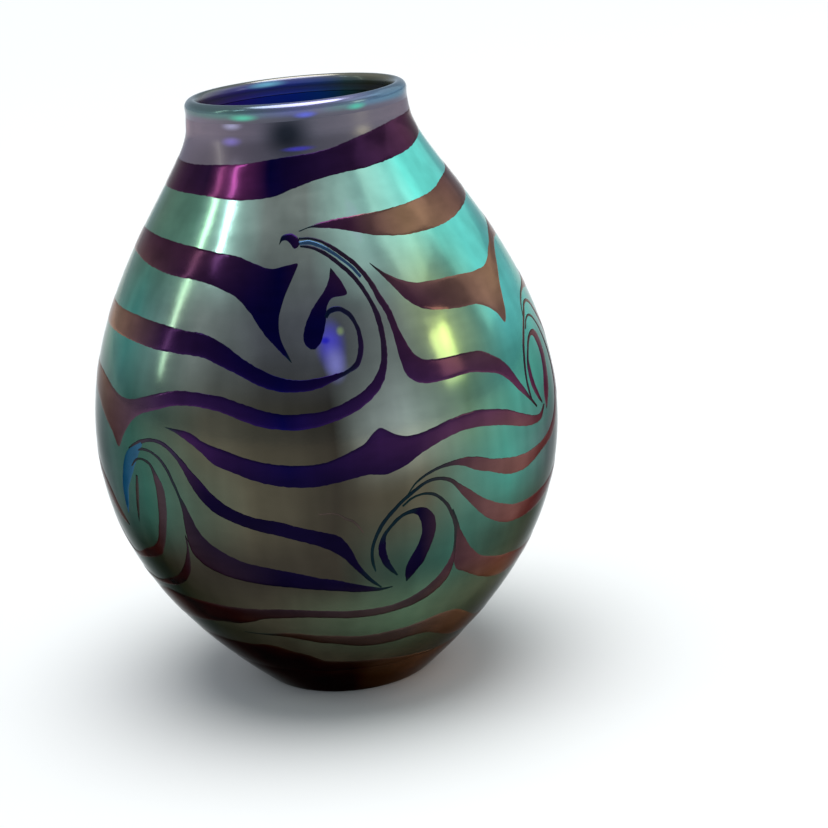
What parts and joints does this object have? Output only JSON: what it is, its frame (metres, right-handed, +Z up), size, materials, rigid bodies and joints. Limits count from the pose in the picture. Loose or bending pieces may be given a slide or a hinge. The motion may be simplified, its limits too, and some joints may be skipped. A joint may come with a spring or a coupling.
{
  "type": "hand blown art glass vase",
  "caption": "Ovoid iridescent glass vase with a short neck, rolled lip, ground foot and dark hooked threads winding round a silver-green lustre body.",
  "frame": {"origin": "centre of the foot, on the surface the vase stands on", "axes": "+Z up along the vase's axis; -Y is the side with the upper swirl in front; +X to its right"},
  "size_m": [0.1408, 0.1408, 0.18],
  "materials": {
    "cobalt_glass": "gloss, transparent cobalt seen through the mouth",
    "amethyst_glass": "gloss, smoky lilac with a faint lustre",
    "lip_glass": "fire-polished gloss",
    "silver_lustre_glass": "satin metallic lustre, silver-green to turquoise",
    "midnight_thread_glass": "gloss, midnight blue to plum and copper lustre",
    "drawn_film_glass": "satin lustre drawn thin over dark glass, steel blue to teal"
  },
  "bodies": {
    "root": {"core_gather": "cobalt_glass", "casing_gather": "amethyst_glass", "lustre_overlay": "silver_lustre_glass", "lip_bead": "lip_glass", "foot_wrap": "midnight_thread_glass", "neck_turn": "midnight_thread_glass", "shoulder_turn": "midnight_thread_glass", "upper_turn": "midnight_thread_glass", "middle_turn": "midnight_thread_glass", "belly_turn": "midnight_thread_glass", "foot_turn": "midnight_thread_glass", "front_leg": "midnight_thread_glass", "front_comma": "midnight_thread_glass", "front_hook": "midnight_thread_glass", "front_film": "drawn_film_glass", "right_ring": "midnight_thread_glass", "right_arch": "midnight_thread_glass", "right_leg": "midnight_thread_glass", "right_loop": "midnight_thread_glass", "far_right_ring": "midnight_thread_glass", "far_right_arch": "midnight_thread_glass", "far_right_leg": "midnight_thread_glass", "far_right_loop": "midnight_thread_glass", "back_ring": "midnight_thread_glass", "back_arch": "midnight_thread_glass", "back_leg": "midnight_thread_glass", "back_loop": "midnight_thread_glass", "far_left_ring": "midnight_thread_glass", "far_left_arch": "midnight_thread_glass", "far_left_leg": "midnight_thread_glass", "far_left_loop": "midnight_thread_glass", "left_film": "drawn_film_glass", "left_vein": "midnight_thread_glass", "left_arch": "midnight_thread_glass", "left_leg": "midnight_thread_glass", "left_loop": "midnight_thread_glass", "lower_ring": "midnight_thread_glass", "lower_loop": "midnight_thread_glass", "lower_hair": "midnight_thread_glass"}
  },
  "joints": []
}
